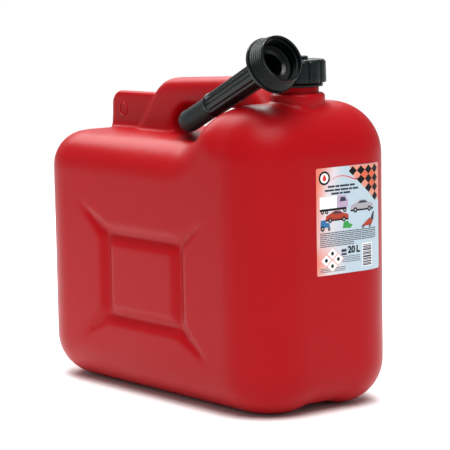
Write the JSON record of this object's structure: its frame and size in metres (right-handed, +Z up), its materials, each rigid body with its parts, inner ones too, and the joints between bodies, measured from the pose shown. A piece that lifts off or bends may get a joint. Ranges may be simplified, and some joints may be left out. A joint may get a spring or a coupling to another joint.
{
  "type": "fuel can",
  "caption": "Upright plastic fuel can with a stepped top, through handle, rear fin, threaded neck with screw cap, and a pouring spout stored beside the handle.",
  "frame": {"origin": "centre of the tank's footprint, on the surface it stands on", "axes": "+X towards the labelled front under the neck, +Y across the can, +Z up"},
  "size_m": [0.4103, 0.2, 0.3944],
  "materials": {
    "tank_plastic": "satin blow moulded polyethylene, red",
    "cap_plastic": "satin injection moulded polypropylene, black",
    "spout_plastic": "glossy injection moulded polyethylene, black",
    "nozzle_plastic": "matte flexible polyethylene, dark grey",
    "seal_rubber": "soft nitrile rubber",
    "label_film": "printed film, semi-gloss"
  },
  "bodies": {
    "tank": {"tank_shell": "tank_plastic", "tamper_ring": "cap_plastic", "front_label": "label_film"},
    "seal_carrier": {"cap_seal": "seal_rubber"},
    "cap": {"screw_cap": "cap_plastic"},
    "spout": {"spout_tube": "spout_plastic", "spout_gasket": "seal_rubber", "spout_nozzle": "nozzle_plastic"},
    "collar": {"spout_collar": "spout_plastic"}
  },
  "joints": [
    {"name": "cap_lift", "type": "slide", "parent": "tank", "child": "seal_carrier", "axis": [0, 0, 1], "range_m": [0, 0.0239]},
    {"name": "cap_turn", "type": "hinge", "parent": "seal_carrier", "child": "cap", "pos_m": [0.149, 0, 0.355], "axis": [0, 0, 1], "range_deg": [0, 2160]},
    {"name": "spout_release", "type": "slide", "parent": "tank", "child": "spout", "axis": [0, -1, 0], "range_m": [0, 0.15]},
    {"name": "collar_turn", "type": "hinge", "parent": "spout", "child": "collar", "pos_m": [0.17384, -0.055, 0.36361], "axis": [0.9078, 0, 0.4195], "continuous": true}
  ],
  "couplings": [
    {"joint": "cap_turn", "follows": "cap_lift", "rad_per_m": 1570.8}
  ]
}
